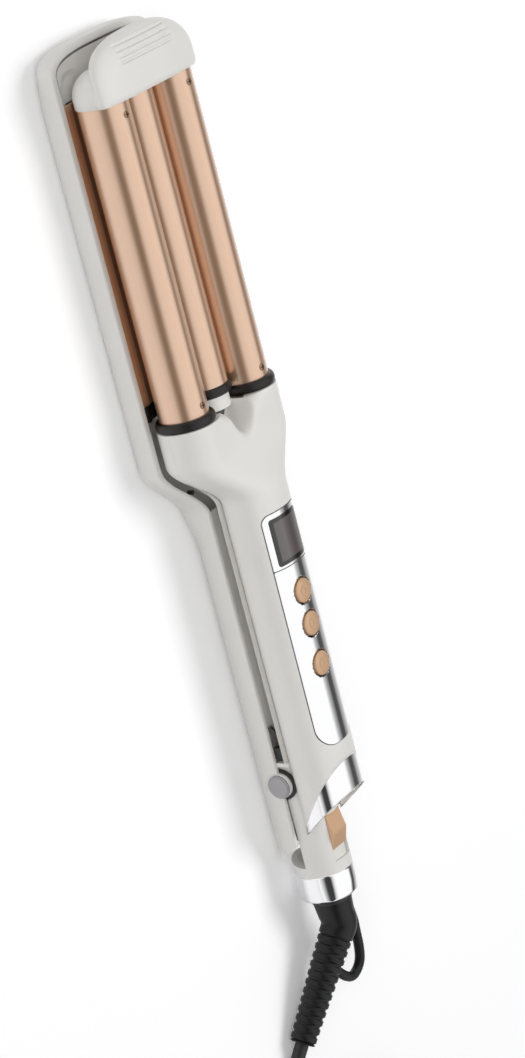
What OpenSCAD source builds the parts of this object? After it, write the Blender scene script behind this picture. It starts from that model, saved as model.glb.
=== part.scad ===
// Three-barrel hair waver, closed and lying on its lower arm.
// +X runs to the tip, +Y is the left side with the buttons up, +Z is up.
// The origin is under the middle of the tool, on the surface that it lies on.
// The upper arm carries two barrels, the keys and the lock, and turns on the hinge pin.
// The lower arm carries the third barrel and the wave plate between the two.

/* [Overall] */
// Length from the shell's tip to the chrome end ring
total_l = 368; // [366:1:372]
// Height of the outer barrels' axes above the surface
barrel_z = 22.5; // [22.3:0.1:23]

/* [Barrels] */
// Diameter of each barrel
barrel_d = 20; // [19:0.5:20]
// Distance of an outer barrel's axis from the middle plane
barrel_y = 21; // [21:0.1:21.4]
// How much lower the middle barrel's axis lies
barrel_drop = 4.1; // [4:0.1:4.4]
// Wall of a barrel tube
barrel_wall = 1.2; // [1:0.1:1.5]
// Diameter of the black rings round the outer barrels
ring_d = 24; // [23:0.5:24]
// Length of a ring along the barrel
ring_l = 5; // [4:0.5:5]

/* [Handle] */
// Width of the upper handle
handle_w = 30.5; // [29.5:0.5:31]
// Height of the upper handle's oval
handle_h = 23; // [22:0.5:23]
// Wall of the moulded casings
wall = 2.2; // [2:0.1:2.4]
// Diameter of the round rear collar
collar_d = 24; // [23.5:0.5:24]
// Diameter of the hinge pin
pin_d = 4; // [3.5:0.1:4]

/* [Lower arm] */
// Half-width of the wide tray
tray_half = 33.5; // [33:0.25:34]
// Half-width of the lower handle
grip_half = 15; // [14.5:0.25:15]
// Height of the tray's rim
tray_rim_z = 11; // [10.6:0.1:11.2]
// Height of the lower handle's rim
grip_rim_z = 16.8; // [16.4:0.1:16.8]

/* [Keys] */
// Diameter of a key
key_d = 11.2; // [10.5:0.1:11.4]
// How far a key travels
key_travel = 0.8; // [0.5:0.1:0.9]

/* [Cord] */
// Diameter of the cord
cord_d = 5.8; // [5.6:0.1:5.8]

/* [Hidden] */
$fn = 48;

tip_x = total_l / 2;
tail_x = -total_l / 2;
br = barrel_d / 2;
mid_z = barrel_z - barrel_drop;

// stations along the tool
ring_x = tip_x - 149.6;         // middle plane of the outer rings
mid_ring_x = ring_x + 4.9;      // middle plane of the middle ring
fork_x = ring_x - ring_l / 2;   // front face of the fork
cap_rear_x = tip_x - 23.5;      // rear face of the tip cap
cap_tip_x = tip_x - 0.8;
barrel_back_x = fork_x - 7;     // rear end of the barrel tubes
barrel_front_x = cap_rear_x + 5;
panel_front_x = tip_x - 196;
panel_back_x = tip_x - 297.5;
lcd_x = tip_x - 207.8;
key_x = [tip_x - 230.8, tip_x - 244.8, tip_x - 261.9];
pin_x = tip_x - 309.5;
lock_front_x = tip_x - 327.3;
lock_back_x = tip_x - 342.5;
end_ring_front_x = tail_x + 13.5;
lower_tail_x = tip_x - 345;

handle_z = barrel_z + 7;        // middle of the upper handle's oval
handle_top_z = handle_z + handle_h / 2;
collar_z = 16;
pin_z = 16.5;
part_z = 21;                    // parting plane of the upper casing
cr = collar_d / 2;

// slanted rear end of the handle: from its top down to the flanks
slant_top_x = tip_x - 305.8;
slant_angle = 35.7;

function smooth(t) = let (u = max(0, min(1, t))) u * u * (3 - 2 * u);
function mix(a, b, t) = a + (b - a) * t;
function super(c, n) = sign(c) * pow(abs(c), 2 / n);

// ---- upper arm's sections: half-width, height over u = y / half-width, middle height
neck_back_x = tip_x - 192;
neck_front_x = tip_x - 174;
function fork_t(x) = smooth((x - neck_back_x) / (neck_front_x - neck_back_x));
fork_half = barrel_y + ring_d / 2;
function upper_half(x) = mix(handle_w / 2, fork_half, fork_t(x));
function lower_half(x) =
    mix(grip_half, tray_half, smooth((x - neck_back_x) / 34));
function under_half(x) = min(upper_half(x), lower_half(x) + 0.4);
function upper_mid(x) = mix(handle_z, barrel_z, fork_t(x));
function bridge(x) = 1 - smooth((x - neck_front_x + 4) / 16);
function lobe(s, x) =
    let (m = mix(1.5, ring_d / 2 + 0.6, bridge(x)), w = mix(12.4, 30, bridge(x)))
    m + (ring_d / 2 - m) * sqrt(max(0, 1 - pow(min(s, w) / w, 2)));
function fork_height(y, x) = abs(y) > barrel_y
    ? sqrt(max(0, pow(ring_d / 2, 2) - pow(abs(y) - barrel_y, 2)))
    : lobe(barrel_y - abs(y), x);
function oval_height(u) = handle_h / 2 * pow(max(0, 1 - pow(abs(u), 2.3)), 1 / 2.3);
function upper_height(u, x) =
    mix(oval_height(u), fork_height(u * fork_half, x), fork_t(x));

// One closed section of the upper arm, drawn in by `inset`
function upper_ring(x, inset, n) = [
    for (i = [0:n - 1])
        let (
            a = 360 * i / n,
            u = cos(a),
            half = (sin(a) >= 0 ? upper_half(x)
                : mix(upper_half(x), under_half(x), -sin(a))) - inset,
            up = sin(a) > 0.001 ? 1 : sin(a) < -0.001 ? -1 : 0
        )
        [x, u * half, upper_mid(x) + up * max(0.2, upper_height(u, x) - inset)]
];

// ---- lower arm's sections
tip_round = 24;
tip_edge = 8;
function rim_z(x) = mix(grip_rim_z, tray_rim_z, smooth((x - neck_back_x) / 20));
function corner_n(x) = mix(2.2, 5.5, smooth((x - neck_back_x) / 34));
function base_z(x) = mix(0.8, -0.12, smooth((x - neck_back_x) / 34))
    + (x > tip_x - tip_edge
        ? tip_edge * (1 - sqrt(max(0, 1 - pow((x - tip_x + tip_edge) / tip_edge, 2)))) : 0)
    + (x < lower_tail_x + 6 ? 4 * pow((lower_tail_x + 6 - x) / 6, 2) : 0);
function tray_plan(x) = x > tip_x - tip_round
    ? pow(max(0.0001, 1 - pow((x - tip_x + tip_round) / tip_round, 3.5)), 1 / 3.5) : 1;
function lower_ring(x, inset, lift, n) = [
    for (i = [0:n - 1])
        let (
            a = 360 * i / n,
            half = lower_half(x) * tray_plan(x) - inset,
            top = rim_z(x) + lift,
            low = base_z(x) + inset
        )
        [x, half * super(cos(a), corner_n(x)),
            sin(a) > -0.001 ? top : top - (top - low) * super(-sin(a), corner_n(x))]
];
// stations of the rounded tip, closer together towards its end
function tip_stations(inset) = [
    for (a = [0, 24, 40, 52, 62, 71, 79, 86])
        tip_x - tip_round + (tip_round - inset) * pow(sin(a), 2 / 3.5)
];

// Closed solid through a list of rings that run along +X
module loft(rings) {
    n = len(rings[0]);
    m = len(rings);
    sides = [
        for (j = [0:m - 2], i = [0:n - 1])
            let (k = (i + 1) % n, a = j * n)
            each [[a + i, a + n + i, a + n + k], [a + i, a + n + k, a + k]]
    ];
    strip = [
        for (i = [0:n / 2 - 1])
            each i == 0 ? [[0, 1, n - 1]]
                : i == n / 2 - 1 ? [[i, i + 1, i + 2]]
                : [[i, i + 1, n - i - 1], [i, n - i - 1, n - i]]
    ];
    back = strip;
    front = [for (t = strip) [for (k = [2, 1, 0]) t[k] + (m - 1) * n]];
    polyhedron(points = [for (r = rings) each r], faces = concat(sides, back, front));
}

// Tube of `sides` sides swept along a route
function unit(v) = v / norm(v);
module sweep(route, r, sides, ref = [0, 0, 1]) {
    m = len(route);
    dirs = [
        for (i = [0:m - 1]) unit(route[min(i + 1, m - 1)] - route[max(i - 1, 0)])
    ];
    points = [
        for (i = [0:m - 1])
            let (
                side = unit(cross(ref, dirs[i])),
                up = cross(dirs[i], side)
            )
            for (k = [0:sides - 1])
                let (a = 360 * k / sides)
                route[i] + r * (cos(a) * side + sin(a) * up)
    ];
    walls = [
        for (i = [0:m - 2], k = [0:sides - 1])
            let (a = i * sides, q = (k + 1) % sides)
            each [[a + k, a + sides + k, a + sides + q], [a + k, a + sides + q, a + q]]
    ];
    ends = [
        for (k = [1:sides - 2])
            each [[0, k, k + 1],
                [(m - 1) * sides + k + 1, (m - 1) * sides + k, (m - 1) * sides]]
    ];
    polyhedron(points = points, faces = concat(walls, ends));
}

// Bar along +X between two stations with a drawn section (Y, Z)
module bar_x(x0, x1) {
    translate([x0, 0, 0]) rotate([90, 0, 90]) linear_extrude(x1 - x0) children();
}
module rod_x(x0, x1, r, y = 0, z = 0) {
    translate([x0, y, z]) rotate([0, 90, 0]) cylinder(h = x1 - x0, r = r);
}
module rod_y(y0, y1, r, x, z) {
    translate([x, y0, z]) rotate([-90, 0, 0]) cylinder(h = y1 - y0, r = r);
}
// Body of revolution about a line along +X: points are (radius, x)
module turned_x(points, y = 0, z = 0) {
    translate([0, y, z]) rotate([0, 90, 0]) rotate_extrude() polygon(points);
}
// Plan outline with rounded ends, from x0 to x1
module plan_pill(x0, x1, half, r) {
    union() {
        translate([x0, -half + r]) square([x1 - x0, 2 * half - 2 * r]);
        translate([x0 + r, -half]) square([x1 - x0 - 2 * r, 2 * half]);
        for (x = [x0 + r, x1 - r], y = [-half + r, half - r])
            translate([x, y]) circle(r);
    }
}

// Line of the handle's oval, drawn in by `inset`, for bars along +X
function oval_points(inset, n) = [
    for (i = [0:n - 1])
        let (a = 360 * i / n, u = cos(a), up = sin(a) > 0.001 ? 1 : sin(a) < -0.001 ? -1 : 0)
        [u * (handle_w / 2 - inset), handle_z + up * max(0.2, oval_height(u) - inset)]
];

// Everything within reach above the slanted rear end, moved up by `lift`
module above_slant(lift = 0) {
    translate([slant_top_x, -50, handle_top_z]) rotate([0, -slant_angle, 0])
        translate([-70, 0, lift]) cube([90, 100, 60]);
}

// Space that the lower arm's tail sweeps, seen from the side
module tail_sweep() {
    translate([0, 25, 0]) rotate([90, 0, 0]) linear_extrude(50)
        polygon([
            [pin_x, pin_z - 3], [pin_x, pin_z + 1], [pin_x - 60, pin_z + 1 + 60 * tan(open_angle)],
            [pin_x - 60, pin_z - 3]
        ]);
}

module fork_arms(r, x0, x1) {
    for (s = [-1, 1]) rod_x(x0, x1, r, s * barrel_y, barrel_z);
}

module panel_area(grow, low, high = 60) {
    translate([0, 0, low]) linear_extrude(high - low)
        plan_pill(panel_back_x - grow, panel_front_x + grow, panel_half + grow, 5 + grow);
}

// ================= upper arm =================
upper_stations = concat(
    [tip_x - 338, tip_x - 320, tip_x - 260, tip_x - 200, neck_back_x],
    [for (k = [1:8]) mix(neck_back_x, neck_front_x, k / 8)],
    [for (k = [1:5]) mix(neck_front_x, fork_x - 6, k / 5)]
);

module upper_solid() {
    union() {
        loft([for (x = upper_stations) upper_ring(x, 0, 36)]);
        fork_arms(ring_d / 2 - 0.1, fork_x - 12, fork_x);
    }
}

module upper_hollow() {
    loft([
        for (x = [tip_x - 337.5, tip_x - 260, tip_x - 200, neck_back_x + 4,
                neck_back_x + 9, neck_back_x + 14, neck_front_x + 4])
            upper_ring(x, wall, 24)
    ]);
}

module upper_housing() {
    color([0.91, 0.9, 0.88])
    difference() {
        upper_solid();
        upper_hollow();
        translate([-200, -50, -20]) cube([400, 100, part_z + 20]);
        above_slant();
        tail_sweep();
        rod_x(pin_x - 50, pin_x + 9.05, cr + 0.03, 0, collar_z);
        rod_y(-lug_y[1] - 0.05, lug_y[1] + 0.05, 5.55, pin_x, pin_z);
        difference() {
            panel_area(0.05, 30);
            bar_x(panel_back_x - 5, panel_front_x + 5) polygon(oval_points(panel_t, 48));
        }
        panel_area(-1.8, 30);
        fork_arms(br, barrel_back_x, fork_x + 1);
    }
}

board_x = [tip_x - 288, tip_x - 200];
module upper_inner_cover() {
    color([0.86, 0.85, 0.83])
    difference() {
        union() {
            difference() {
                upper_solid();
                upper_hollow();
                translate([-200, -50, part_z - 0.05]) cube([400, 100, 60]);
                translate([-200, -50, 0]) cube([200 + pin_x + 9, 100, 60]);
            }
            // posts that the circuit board stands on
            for (x = [board_x[0] + 4, board_x[1] - 4], y = [-4.5, 4.5])
                translate([x, y, handle_z - 9.6]) cylinder(h = board_z - handle_z + 9.6, r = 1.4);
            for (x = screw_x) translate([x, 0, handle_z - 10]) cylinder(h = 9, r = 3.4);
        }
        fork_arms(br, barrel_back_x, fork_x + 1);
        for (x = screw_x) {
            translate([x, 0, 0]) cylinder(h = handle_z, r = 1.5);
            translate([x, 0, 0]) cylinder(h = screw_head_z, r = 3);
        }
    }
}
screw_x = [tip_x - 220, tip_x - 278];
screw_head_z = handle_z - 10;
module housing_screws() {
    color("dimgray")
    for (x = screw_x) translate([x, 0, 0]) {
        translate([0, 0, screw_head_z - 1.2]) cylinder(h = 1.2, r = 2.8);
        translate([0, 0, screw_head_z]) cylinder(h = 8, r = 1.5);
    }
}

// ---- barrels
module barrel(y, z, x0, x1, screws) {
    color([0.84, 0.68, 0.57])
    difference() {
        rod_x(x0, x1, br, y, z);
        rod_x(x0 - 1, x1 + 1, br - barrel_wall, y, z);
        for (x = screws) translate([x, y, z]) cylinder(h = br + 1, r = 0.9);
    }
}
barrel_screw_x = [ring_x + 4.8, tip_x - 28.7];
module barrel_left() {
    barrel(barrel_y, barrel_z, barrel_back_x, barrel_front_x, barrel_screw_x);
}
module barrel_right() {
    barrel(-barrel_y, barrel_z, barrel_back_x, barrel_front_x, barrel_screw_x);
}
module barrel_screws() {
    color([0.35, 0.25, 0.2])
    for (x = barrel_screw_x, s = [-1, 1])
        translate([x, s * barrel_y, barrel_z + br]) {
            translate([0, 0, 0.02]) cylinder(h = 0.6, r = 1.5);
            translate([0, 0, -3]) cylinder(h = 3.1, r = 0.9);
        }
}

// Round bead ring on a barrel
module bead(x, y, z, r) {
    k = ring_l / 2;
    round = min(1.2, (r - br) * 0.6);
    color([0.12, 0.1, 0.1])
    turned_x(concat(
        [[br + 0.02, x - k], [br + 0.02, x + k]],
        [for (a = [90:-15:-90]) [r - round + round * cos(a), x + k * sin(a)]]
    ), y, z);
}
module ring_left() { bead(ring_x, barrel_y, barrel_z, ring_d / 2); }
module ring_right() { bead(ring_x, -barrel_y, barrel_z, ring_d / 2); }

module heater(y, z, x0, x1) {
    color("whitesmoke") translate([x0, y - 5, z - 1.3]) cube([x1 - x0, 10, 2.6]);
}
module spreader(y, z, x0, x1) {
    color("silver")
    difference() {
        rod_x(x0, x1, br - barrel_wall - 0.03, y, z);
        translate([x0 - 1, y - br, z - 1.32]) cube([x1 - x0 + 2, 2 * br, 2.64]);
    }
}
heater_x = [tip_x - 135, tip_x - 40];
module heater_left() { heater(barrel_y, barrel_z, heater_x[0], heater_x[1]); }
module heater_right() { heater(-barrel_y, barrel_z, heater_x[0], heater_x[1]); }
module heater_middle() { heater(0, mid_z, heater_x[0], heater_x[1]); }
module spreader_left() { spreader(barrel_y, barrel_z, heater_x[0], heater_x[1]); }
module spreader_right() { spreader(-barrel_y, barrel_z, heater_x[0], heater_x[1]); }
module spreader_middle() { spreader(0, mid_z, heater_x[0], heater_x[1]); }

module tip_plug(y) {
    color([0.2, 0.19, 0.18])
    rod_x(barrel_front_x - 8, barrel_front_x, br - barrel_wall - 0.02, y, barrel_z);
}
module tip_plug_left() { tip_plug(barrel_y); }
module tip_plug_right() { tip_plug(-barrel_y); }

// ---- tip cap: a hood that joins both barrels' ends, over two rounded ends
cap_r = br + 1.4;
cap_top_z = barrel_z + 11.3;
cap_edge_x = tip_x - 17;        // where the top starts to fall towards the tip
cap_edge_z = barrel_z - 4;
function cap_profile() = concat(
    [[cap_rear_x, barrel_z - 5], [cap_rear_x, cap_top_z], [cap_edge_x, cap_top_z]],
    [
        for (a = [80:-10:0])
            [cap_edge_x + (cap_tip_x - cap_edge_x) * cos(a),
                cap_edge_z + (cap_top_z - cap_edge_z) * sin(a)]
    ],
    [[cap_tip_x - 1.5, barrel_z - 7], [cap_tip_x - 6, barrel_z - 8.5]]
);
module hood() {
    half = barrel_y + 9.6;
    intersection() {
        translate([0, 50, 0]) rotate([90, 0, 0]) linear_extrude(100) polygon(cap_profile());
        linear_extrude(60) plan_pill(cap_rear_x - 20, cap_tip_x, half, 14);
        bar_x(cap_rear_x - 1, tip_x + 5) polygon(concat(
            [[-half + 3, 0], [half - 3, 0], [half, barrel_z + 5]],
            [
                for (a = [10:10:170])
                    [half * super(cos(a), 3.2), barrel_z + 5 + 6.3 * super(sin(a), 3.2)]
            ],
            [[-half, barrel_z + 5]]
        ));
        translate([cap_rear_x, -50, 0]) cube([60, 100, 60]);
    }
}
module tip_cap() {
    color([0.91, 0.9, 0.88])
    difference() {
        union() {
            hood();
            for (s = [-1, 1]) {
                rod_x(cap_rear_x, cap_rear_x + 2.5, cap_r, s * barrel_y, barrel_z);
                translate([cap_rear_x + 2.5, s * barrel_y, barrel_z]) sphere(cap_r);
            }
        }
        translate([cap_rear_x - 30, -50, 0]) cube([30, 100, 60]);
        for (s = [-1, 1]) {
            rod_x(cap_rear_x - 1, barrel_front_x + 0.3, br + 0.02, s * barrel_y, barrel_z);
        }
        // grip grooves across the falling top
        for (a = [68, 56, 45, 34])
            rod_y(-16, 16, 0.7,
                cap_edge_x + (cap_tip_x - cap_edge_x) * cos(a) * 1.01,
                cap_edge_z + (cap_top_z - cap_edge_z) * sin(a) * 1.01);
    }
}

// ---- control panel, window and keys
panel_half = 11.2;
panel_t = 1.2;
lcd_l = 19.5;
lcd_half = 9;
module lcd_area(grow, low) {
    translate([lcd_x - lcd_l / 2 - grow, -lcd_half - grow, low])
        cube([lcd_l + 2 * grow, 2 * lcd_half + 2 * grow, 30]);
}
module control_panel() {
    color([0.86, 0.86, 0.88])
    difference() {
        intersection() {
            panel_area(0, 30);
            bar_x(panel_back_x - 5, panel_front_x + 5) polygon(oval_points(-0.12, 48));
        }
        bar_x(panel_back_x - 5, panel_front_x + 5) polygon(oval_points(panel_t - 0.03, 48));
        difference() {
            lcd_area(0.05, 30);
            bar_x(panel_back_x - 5, panel_front_x + 5) polygon(oval_points(0.6, 48));
        }
        lcd_area(-1.2, 30);
        for (x = key_x) translate([x, 0, 30]) cylinder(h = 20, r = key_d / 2 + 0.2);
    }
}
module display_window() {
    color([0.3, 0.28, 0.28])
    difference() {
        intersection() {
            lcd_area(0, 30);
            bar_x(panel_back_x - 5, panel_front_x + 5) polygon(oval_points(-0.02, 48));
        }
        bar_x(panel_back_x - 5, panel_front_x + 5) polygon(oval_points(0.58, 48));
    }
}
board_z = handle_z + 2.1;
module circuit_board() {
    color([0.1, 0.35, 0.2])
    translate([board_x[0], -10, board_z]) cube([board_x[1] - board_x[0], 20, 1.6]);
}
module display_module() {
    color([0.25, 0.25, 0.27])
    translate([lcd_x - 9.5, -7.6, board_z + 1.6]) cube([19, 15.2, 4.6]);
}
switch_top_z = handle_top_z - 4;
module tact_switches() {
    color([0.2, 0.2, 0.2])
    for (x = key_x) {
        translate([x - 3, -3, board_z + 1.6])
            cube([6, 6, switch_top_z - board_z - 2.2]);
        translate([x, 0, switch_top_z - 0.7]) cylinder(h = 0.7, r = 1.7);
    }
}
module key(x) {
    top = handle_top_z + 0.9;
    color([0.84, 0.7, 0.55])
    translate([x, 0, 0]) rotate_extrude()
        polygon([
            [0, top], [key_d / 2 - 1.6, top - 0.12], [key_d / 2 - 0.5, top - 0.5],
            [key_d / 2, top - 1.2], [key_d / 2, top - 3],
            [2, top - 3], [2, switch_top_z + key_travel + 0.05],
            [0, switch_top_z + key_travel + 0.05]
        ]);
}
module key_plus() { key(key_x[0]); }
module key_minus() { key(key_x[1]); }
module key_power() { key(key_x[2]); }

// ---- rear end: trim, collar, lock, end ring
module chevron_trim() {
    color([0.86, 0.86, 0.88])
    difference() {
        intersection() {
            bar_x(pin_x - 40, pin_x + 20) polygon(oval_points(-0.05, 48));
            above_slant(0.02);
        }
        above_slant(1.6);
        rod_x(pin_x - 50, pin_x + 30, cr + 0.03, 0, collar_z);
        translate([-200, -50, 0]) cube([400, 100, part_z]);
        slider_room(0.1);
        tail_sweep();
    }
}
lug_y = [5, 11.9];
collar_face_r = 38.2;           // clear of the tail's corner as the arm opens
module rear_collar() {
    color([0.91, 0.9, 0.88])
    difference() {
        union() {
            difference() {
                rod_x(end_ring_front_x, pin_x + 9, cr, 0, collar_z);
                intersection() {
                    rod_y(-20, 20, collar_face_r, pin_x, pin_z);
                    translate([-200, -20, -30]) cube([400, 40, 46.4]);
                }
                translate([pin_x, -20, 0]) cube([40, 40, 16.4]);
            }
            for (s = [-1, 1]) mirror([0, s < 0 ? 1 : 0, 0]) {
                rod_y(lug_y[0], lug_y[1], 5.5, pin_x, pin_z);
            }
        }
        rod_y(-20, 20, pin_d / 2 + 0.05, pin_x, pin_z);
        rod_y(-lug_y[0], lug_y[0], 5.4, pin_x, pin_z);
        translate([pin_x, -lug_y[0], 0]) cube([12, 2 * lug_y[0], pin_z + 1.2]);
        // wires, swivel bearing, lock slider and its bolt
        rod_x(end_ring_front_x - 1, pin_x + 10, 2.6, 0, 24.2 - 2);
        rod_x(end_ring_front_x - 1, end_ring_front_x + 6, 8.6, 0, collar_z);
        slider_room(0);
        translate([bolt_x[0] - lock_travel - 0.3, -3.1, 10])
            cube([bolt_x[1] - bolt_x[0] + lock_travel + 0.5, 6.2, 20]);
    }
}
module end_ring() {
    color([0.86, 0.86, 0.88])
    turned_x([
        [cr - 0.1, end_ring_front_x - 0.02], [cr - 0.7, tail_x + 7],
        [cr - 1.4, tail_x + 2.5], [cr - 2.4, tail_x],
        [8.6, tail_x], [8.6, end_ring_front_x - 0.02]
    ], 0, collar_z);
}
module swivel_socket() {
    color([0.2, 0.2, 0.2])
    turned_x([
        [8.55, tail_x + 1.6], [8.55, end_ring_front_x + 5.9],
        [5.1, end_ring_front_x + 5.9], [5.1, tail_x + 1.6]
    ], 0, collar_z);
}
lock_travel = 4.5;
slider_z = 24.7;
bolt_x = [lock_back_x + 4.5, lock_back_x + 8];
module slider_room(grow) {
    translate([lock_back_x - lock_travel - 0.3, -5.1 - grow, slider_z - 0.1])
        cube([lock_front_x - lock_back_x + lock_travel + 0.5 + grow, 10.2 + 2 * grow, 10]);
}
module lock_slider() {
    color([0.8, 0.63, 0.46])
    translate([0, 5, 0]) rotate([90, 0, 0]) linear_extrude(10)
        polygon([
            [lock_back_x, slider_z], [lock_front_x, slider_z], [lock_front_x, 27.2],
            [lock_back_x + 8.2, 28.6], [lock_back_x + 7, 28.9], [lock_back_x + 5.8, 28.6],
            [lock_back_x, 26.9]
        ]);
}
module lock_bolt() {
    color("silver")
    translate([bolt_x[0], -3, slider_z - 7.3]) cube([bolt_x[1] - bolt_x[0], 6, 7.3]);
}

// ================= lower arm =================
lower_stations = concat(
    [lower_tail_x, lower_tail_x + 3, lower_tail_x + 6, tip_x - 260, neck_back_x],
    [for (k = [1:8]) neck_back_x + 34 * k / 8],
    [tip_x - 90],
    tip_stations(0)
);
module lower_shell() {
    color([0.9, 0.89, 0.87])
    difference() {
        union() {
            loft([for (x = lower_stations) lower_ring(x, 0, 0, 32)]);
            for (s = [-1, 1]) mirror([0, s < 0 ? 1 : 0, 0])
                rod_y(ear_in, grip_half, 6, pin_x, pin_z);
        }
        difference() {
            loft([
                for (x = concat(
                    [lower_tail_x + 2.5, lower_tail_x + 6, tip_x - 260, neck_back_x],
                    [for (k = [1:6]) neck_back_x + 34 * k / 6],
                    tip_stations(wall)
                )) lower_ring(x, wall, 2, 28)
            ]);
            for (x = shell_screw_x)
                translate([x, 0, 0]) cylinder(h = shell_boss_z(x), r = 3.4);
            translate([catch_x[0], -3.5, 0]) cube([catch_x[1] - catch_x[0], 7, catch_z]);
        }
        translate([-300, -50, -10]) cube([600, 100, 10]);
        stop_pad_at(0.92, rim_z(pad_x) - 1.42, rim_z(pad_x) + 3);
        rod_y(-20, 20, pin_d / 2, pin_x, pin_z);
        // room for the collar and its lugs, also as the arms open
        rod_y(-lug_y[1] - 0.3, lug_y[1] + 0.3, 5.9, pin_x, pin_z);
        translate([0, cr + 0.2, 0]) rotate([90, 0, 0]) linear_extrude(2 * cr + 0.4)
            polygon([
                [pin_x - 3, pin_z - 1], [pin_x - 3, 30], [pin_x - 40, 30],
                [pin_x - 40, pin_z - 0.6 - 40 * tan(open_angle)]
            ]);
        // slanted rear end
        translate([0, 20, 0]) rotate([90, 0, 0]) linear_extrude(40)
            polygon([[lower_tail_x - 2, 3], [lower_tail_x, 3], [lower_tail_x + 6.5, 18],
                [lower_tail_x - 2, 18]]);
        for (x = shell_screw_x) {
            translate([x, 0, -1]) cylinder(h = 30, r = 1.5);
            translate([x, 0, -1]) cylinder(h = 2.5, r = 3);
        }
    }
}
ear_in = 13.4;
shell_screw_x = [tip_x - 290, tip_x - 215, tip_x - 125, tip_x - 45];
function shell_boss_z(x) = x < neck_back_x ? inner_cover_z : mid_z - mid_seat_r - 0.05;
module shell_screws() {
    color("dimgray")
    for (x = shell_screw_x) translate([x, 0, 0]) {
        translate([0, 0, 0.5]) cylinder(h = 1, r = 2.8);
        translate([0, 0, 1.5]) cylinder(h = 4, r = 1.5);
    }
}
inner_cover_z = 12.6;
cover_half = grip_half - wall - 1.1;
cover_x = [tip_x - 286, neck_back_x - 1];
module lower_inner_cover() {
    color([0.86, 0.85, 0.83])
    translate([cover_x[0], -cover_half, inner_cover_z])
        cube([cover_x[1] - cover_x[0], 2 * cover_half, 1.4]);
}

mid_seat_r = br + 1.8;
plate_x = [tip_x - 141.8, tip_x - 21];
plate_half = tray_half - wall - 0.4;
plate_top_z = tray_rim_z + 1;
// Section of the plate and its end blocks, with shallow troughs under the outer barrels
module plate_section(low, half, trough_r, seat_r) {
    difference() {
        union() {
            translate([-half, low]) square([2 * half, plate_top_z - low]);
            intersection() {
                translate([0, mid_z]) circle(mid_seat_r);
                translate([-20, 0]) square([40, plate_top_z]);
            }
        }
        for (s = [-1, 1]) translate([s * barrel_y, barrel_z]) circle(trough_r);
        translate([0, mid_z]) circle(seat_r);
    }
}
module wave_plate() {
    color([0.84, 0.68, 0.57])
    bar_x(plate_x[0], plate_x[1]) union() {
        plate_section(plate_top_z - 2.6, plate_half, br + 1.7, br + 0.35);
        for (s = [-1, 1])
            translate([s * (plate_half + 0.5) - 0.7, tray_rim_z + 0.02])
                square([1.4, plate_top_z - tray_rim_z - 0.02]);
    }
}
module plate_block(x0, x1, trough_r, seat_r) {
    color([0.13, 0.12, 0.12])
    bar_x(x0, x1) plate_section(plate_top_z - 4, plate_half - 0.9, trough_r, seat_r);
}
module plate_block_rear() { plate_block(plate_x[0] - 6.4, plate_x[0] - 0.02, 12.5, 11.3); }
module plate_block_front() { plate_block(plate_x[1] + 0.02, plate_x[1] + 4.5, 12, 10.5); }

mid_back_x = mid_ring_x - ring_l / 2;
mid_front_x = cap_rear_x - 3.2;
module barrel_middle() { barrel(0, mid_z, mid_back_x, mid_front_x, []); }
module ring_middle() { bead(mid_ring_x, 0, mid_z, br + 0.95); }
module neck_middle() {
    color([0.91, 0.9, 0.88])
    union() {
        rod_x(mid_back_x - 6.2, mid_back_x - 0.02, br - 1, 0, mid_z);
        rod_x(mid_back_x - 1, mid_back_x + 8, br - barrel_wall - 0.02, 0, mid_z);
        translate([mid_back_x - 6.2, -7, wall + 0.1]) cube([4.8, 14, mid_z - wall]);
    }
}
module plug_middle() {
    color([0.2, 0.19, 0.18])
    union() {
        rod_x(mid_front_x - 8, mid_front_x, br - barrel_wall - 0.02, 0, mid_z);
        rod_x(mid_front_x + 0.02, mid_front_x + 2, br, 0, mid_z);
        rod_x(mid_front_x - 1, mid_front_x + 1, 6, 0, mid_z);
    }
}

// ---- hinge
open_angle = 12.6;              // a little more than the arms open
module hinge_pin() {
    color("silver") rod_y(-grip_half, grip_half, pin_d / 2, pin_x, pin_z);
}
module hinge_caps() {
    color([0.62, 0.61, 0.63])
    for (s = [-1, 1]) mirror([0, s < 0 ? 1 : 0, 0]) {
        rod_y(grip_half + 0.02, grip_half + 0.9, 5, pin_x, pin_z);
        rod_y(grip_half + 0.9, grip_half + 1.3, 4.4, pin_x, pin_z);
    }
}
spring_r = 3.7;
spring_wire = 1.2;
spring_half = 4;
spring_turn = [44, 5 * 360 - 70];       // angles where the wire leaves its two legs
module torsion_spring() {
    coil = [
        for (a = [spring_turn[0]:24:spring_turn[1]])
            [pin_x + spring_r * cos(a),
                spring_half * (2 * (a - spring_turn[0]) / (spring_turn[1] - spring_turn[0]) - 1),
                pin_z + spring_r * sin(a)]
    ];
    last = coil[len(coil) - 1];
    color("silver")
    sweep(concat(
        [coil[0] + [14.3, -0.2, -14.5], coil[0] + [7, -0.1, -7.2]], coil,
        [last + [5, 0.1, 1.4], last + [9, 0.2, 2.4]]
    ), spring_wire / 2, 6, [0, 1, 0]);
}
pad_x = neck_back_x + 10.5;
module stop_pad_at(r, low, top) {
    for (s = [-1, 1])
        translate([pad_x, s * (lower_half(pad_x) - wall / 2 - 0.1), low]) cylinder(h = top - low, r = r);
}
module stop_pad() {
    color([0.1, 0.1, 0.1]) stop_pad_at(0.9, rim_z(pad_x) - 1.4, rim_z(pad_x) + 0.9);
}
catch_x = [bolt_x[0] - 3, bolt_x[1] + 2];
catch_z = 5.6;
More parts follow.
